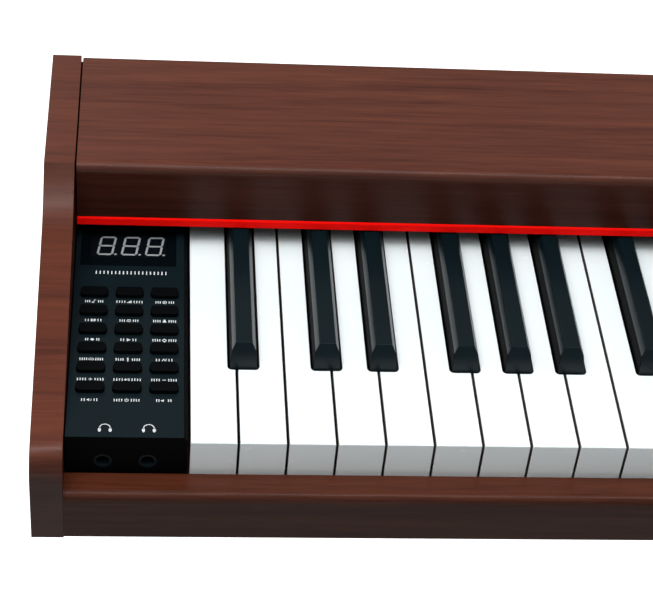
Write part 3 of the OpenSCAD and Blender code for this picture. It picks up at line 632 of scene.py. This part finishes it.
def ticks(x0, x1, y):
    """A scale of short upright ticks between two ends."""
    count = max(1, round((x1 - x0) / TICK_STEP))
    step = (x1 - x0) / count
    middles = [x0 + (k + 0.5) * step for k in range(count)]
    return [bar(x - TICK_W / 2, y - TICK_H / 2, x + TICK_W / 2, y + TICK_H / 2) for x in middles]


def placed(icon, x, y):
    """A pictogram with its middle at a point."""
    return [[(x + px, y + py) for px, py in shape] for shape in icon]


shapes = []
for k in range(TITLE_COUNT):
    x = TITLE_LEFT + TITLE_STEP * k
    shapes.append(bar(x - TITLE_W / 2, TITLE_FOOT, x + TITLE_W / 2, TITLE_HEAD))
for row, labels in enumerate(LABELS):
    y = TOP_LABEL - row * LABEL_STEP
    for x, (width, icon) in zip(COLUMNS, labels):
        shapes += placed(icon, x, y)
        shapes += ticks(x - width / 2, x - ICON_ROOM, y) + ticks(x + ICON_ROOM, x + width / 2, y)
for x, y in HEADPHONES_AT:
    shapes += placed(HEADPHONES, x, y)
bm = bmesh.new()
for shape in shapes:
    prism(bm, at_panel(shape), PANEL_TOP - INK_SUNK, PANEL_TOP + INK_RISE)
piece("panel_print", bm, PRINT_INK, "case")


# ---- Stage, light and camera ----

FLOOR = 40                                      # metres from the middle to each side
floor_mesh = bpy.data.meshes.new("studio_floor")
floor_mesh.from_pydata([(-FLOOR, -FLOOR, 0), (FLOOR, -FLOOR, 0), (FLOOR, FLOOR, 0), (-FLOOR, FLOOR, 0)],
                       [], [(0, 1, 2, 3)])
floor_mesh.materials.append(new_finish("white_studio_paper", {
    "Base Color": linear("#fafafa"), "Roughness": 0.9,
    "Emission Color": linear("#ffffff"), "Emission Strength": 0.9})[0])
floor = bpy.data.objects.new("studio_floor", floor_mesh)
bpy.context.scene.collection.objects.link(floor)
floor.visible_diffuse = False
floor.visible_glossy = False

# The studio: a white table below, a pale back wall and ceiling, and a dark room on the player's side
world = bpy.data.worlds.new("studio")
bpy.context.scene.world = world
world.use_nodes = True
tree = world.node_tree
direction = add(tree, "SeparateXYZ", {"Vector": add(tree, "TexCoord").outputs["Generated"]})
room = add(tree, "MapRange", {"Value": direction.outputs["Y"], "From Min": -0.5, "From Max": 0.6,
                              "To Min": 0.08, "To Max": 0.25})
table = add(tree, "MapRange", {"Value": direction.outputs["Z"], "From Min": -0.12, "From Max": 0.02,
                               "To Min": 1.0, "To Max": 0.0})
level = add(tree, "Mix", {"Factor": table.outputs["Result"], FLOAT_A: room.outputs["Result"], FLOAT_B: 0.35})
# Seen directly, the backdrop is white all round
level = add(tree, "Mix", {"Factor": add(tree, "LightPath").outputs["Is Camera Ray"],
                          FLOAT_A: level.outputs[FLOAT_OUT], FLOAT_B: 1.0})
wire(tree, tree.nodes["Background"], {"Strength": level.outputs[FLOAT_OUT], "Color": linear("#ffffff")})


def area_light(name, location, target, size, watts, glossy=True):
    """A soft light that isn't seen itself, and shows in reflections only where glossy says so."""
    data = bpy.data.lights.new(name, "AREA")
    data.shape = "RECTANGLE"
    data.size, data.size_y = size
    data.energy = watts
    lamp = bpy.data.objects.new(name, data)
    bpy.context.scene.collection.objects.link(lamp)
    lamp.location = location
    lamp.visible_glossy = glossy
    lamp.visible_camera = False
    lamp.rotation_euler = (Vector(target) - Vector(location)).to_track_quat("-Z", "Y").to_euler()


# A broad softbox over the keys that no reflection shows, and a narrow one for the highlights on edges
area_light("softbox", (-0.75, -0.35, 2.45), (-0.3, 0, 0.73), (1.7, 1.3), 39, glossy=False)
area_light("strip", (-0.3, -0.55, 2.3), (-0.3, 0, 0.73), (1.6, 0.1), 4)
# A panel behind the bass end that greys the sheen of the lid and the cheek there
area_light("left_panel", (-1.35, 1.7, 1.97), (-0.68, 0.1, 0.77), (1.2, 1.0), 1.6)
# Fills for the stand's front and for the back
area_light("stand_fill", (-0.9, -2.3, 0.28), (0, 0, 0.34), (2.2, 0.3), 3, glossy=False)
area_light("back_fill", (0.3, 2.4, 0.58), (0, 0.1, 0.58), (2.4, 0.3), 22, glossy=False)

CAMERA_FROM_KEYS = Vector((-20.0, -618.6, 659.0)) * MM   # from the front top corner of the lowest key
LOOK = Vector((0.09268, 0.73474, -0.67198))
ROLL = math.radians(5.9)
camera_data = bpy.data.cameras.new("camera")
camera_data.sensor_width = 36
camera_data.lens = 104.8
camera = bpy.data.objects.new("camera", camera_data)
bpy.context.scene.collection.objects.link(camera)
camera.location = Vector((KEYS_X, KEY_FRONT, KEY_TOP)) + CAMERA_FROM_KEYS
camera.rotation_mode = "QUATERNION"
camera.rotation_quaternion = LOOK.to_track_quat("-Z", "Y") @ Quaternion((0, 0, 1), ROLL)
bpy.context.scene.camera = camera
bpy.context.scene.view_settings.view_transform = "Standard"
